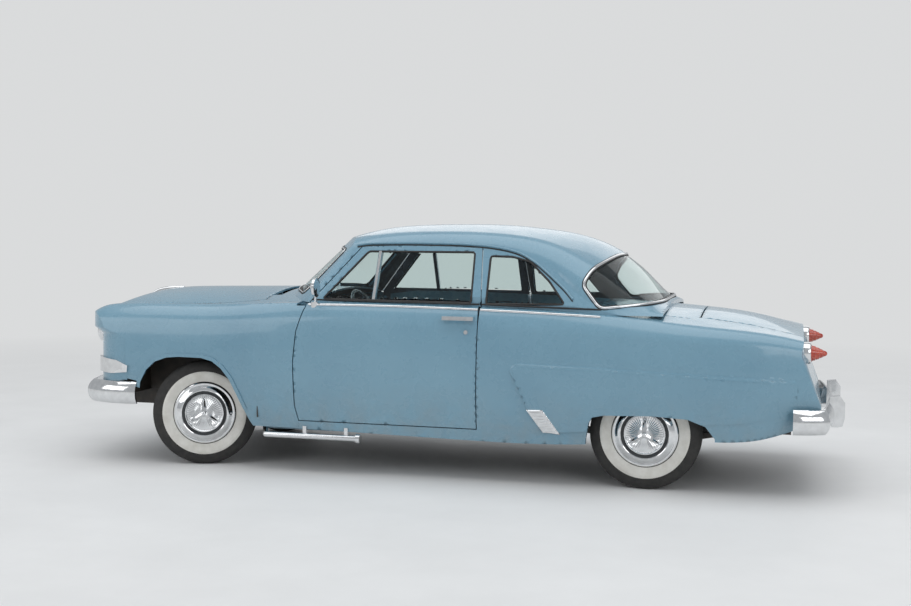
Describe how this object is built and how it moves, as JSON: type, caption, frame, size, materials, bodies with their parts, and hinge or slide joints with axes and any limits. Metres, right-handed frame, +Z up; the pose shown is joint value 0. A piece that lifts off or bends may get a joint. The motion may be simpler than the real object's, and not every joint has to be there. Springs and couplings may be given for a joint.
{
  "type": "car",
  "caption": "Two-door club coupe of the early nineteen-fifties with rounded roof, whitewall tyres, chrome bumpers and wheel covers, opening doors, hood and trunk lid.",
  "frame": {"origin": "on the ground under the middle of the whole car", "axes": "+X points to the front of the car, +Y to the car's left, +Z up"},
  "size_m": [5.037, 1.894, 1.605],
  "materials": {
    "body_paint": "gloss",
    "window_glass": "polished",
    "chassis_black": "satin",
    "engine_iron": "satin",
    "exhaust_steel": "aged",
    "floor_paint": "satin",
    "tyre_rubber": "matte",
    "bright_metal": "polished",
    "lamp_glass": "polished",
    "red_lens": "gloss",
    "dash_paint": "gloss",
    "dark_plastic": "gloss",
    "seat_cloth": "woven"
  },
  "bodies": {
    "car_body": {"front_fender_left": "body_paint", "front_fender_right": "body_paint", "inner_aprons": "chassis_black", "quarter_glass": "window_glass", "windshield": "window_glass", "rear_window": "window_glass", "roof": "body_paint", "cowl": "body_paint", "front_panel": "body_paint", "quarter_left": "body_paint", "quarter_right": "body_paint", "deck_panel": "body_paint", "tail_panel": "body_paint", "frame": "chassis_black", "floor": "floor_paint", "front_suspension": "chassis_black", "rear_axle": "chassis_black", "engine": "engine_iron", "radiator": "chassis_black", "gearbox_shaft": "chassis_black", "fuel_tank": "chassis_black", "exhaust": "exhaust_steel", "side_pipes": "bright_metal", "front_bumper": "bright_metal", "rear_bumper": "bright_metal", "headlamps": "lamp_glass", "tail_lamps": "red_lens", "grille": "bright_metal", "dashboard": "dash_paint", "front_seat": "seat_cloth", "rear_seat": "seat_cloth", "parking_lamps": "bright_metal"},
    "door_left": {"door_left": "body_paint", "door_glass_left": "window_glass", "door_hardware_left": "bright_metal"},
    "door_right": {"door_right": "body_paint", "door_glass_right": "window_glass", "door_hardware_right": "bright_metal"},
    "hood": {"hood": "body_paint"},
    "trunk_lid": {"trunk_lid": "body_paint"},
    "knuckle_left": {"knuckle_left": "chassis_black"},
    "knuckle_right": {"knuckle_right": "chassis_black"},
    "steering_wheel": {"steering_wheel": "dark_plastic"},
    "wheel_front_left": {"wheel_front_left": "bright_metal", "tyre_front_left": "tyre_rubber"},
    "wheel_front_right": {"wheel_front_right": "bright_metal", "tyre_front_right": "tyre_rubber"},
    "wheel_rear_left": {"wheel_rear_left": "bright_metal", "tyre_rear_left": "tyre_rubber"},
    "wheel_rear_right": {"wheel_rear_right": "bright_metal", "tyre_rear_right": "tyre_rubber"}
  },
  "joints": [
    {"name": "door_left_hinge", "type": "hinge", "parent": "car_body", "child": "door_left", "pos_m": [0.7935, 0.905, 0.7], "axis": [0, 0, -1], "range_deg": [0, 65]},
    {"name": "door_right_hinge", "type": "hinge", "parent": "car_body", "child": "door_right", "pos_m": [0.7935, -0.905, 0.7], "axis": [0, 0, 1], "range_deg": [0, 65]},
    {"name": "hood_hinge", "type": "hinge", "parent": "car_body", "child": "hood", "pos_m": [1.1565, 0, 1.098], "axis": [0, -1, 0], "range_deg": [0, 45]},
    {"name": "trunk_hinge", "type": "hinge", "parent": "car_body", "child": "trunk_lid", "pos_m": [-1.5135, 0, 1.03], "axis": [0, 1, 0], "range_deg": [0, 60]},
    {"name": "steer_left", "type": "hinge", "parent": "car_body", "child": "knuckle_left", "pos_m": [1.5935, 0.69, 0.342], "axis": [0, 0, 1], "range_deg": [-49, 13]},
    {"name": "steer_right", "type": "hinge", "parent": "car_body", "child": "knuckle_right", "pos_m": [1.5935, -0.69, 0.342], "axis": [0, 0, 1], "range_deg": [-49, 13]},
    {"name": "steering_wheel_turn", "type": "hinge", "parent": "car_body", "child": "steering_wheel", "pos_m": [0.5565, 0.37, 0.96], "axis": [-0.8829, 0, 0.4695], "range_deg": [-882, 234]},
    {"name": "front_left_spin", "type": "hinge", "parent": "knuckle_left", "child": "wheel_front_left", "pos_m": [1.57913, 0.73422, 0.342], "axis": [-0.309, 0.9511, 0], "continuous": true},
    {"name": "rear_left_spin", "type": "hinge", "parent": "car_body", "child": "wheel_rear_left", "pos_m": [-1.3405, 0.711, 0.342], "axis": [0, 1, 0], "continuous": true},
    {"name": "front_right_spin", "type": "hinge", "parent": "knuckle_right", "child": "wheel_front_right", "pos_m": [1.60787, -0.73422, 0.342], "axis": [-0.309, 0.9511, 0], "continuous": true},
    {"name": "rear_right_spin", "type": "hinge", "parent": "car_body", "child": "wheel_rear_right", "pos_m": [-1.3405, -0.711, 0.342], "axis": [0, 1, 0], "continuous": true}
  ],
  "couplings": [
    {"joint": "steer_right", "follows": "steer_left", "ratio": 1},
    {"joint": "steering_wheel_turn", "follows": "steer_left", "ratio": 18}
  ]
}
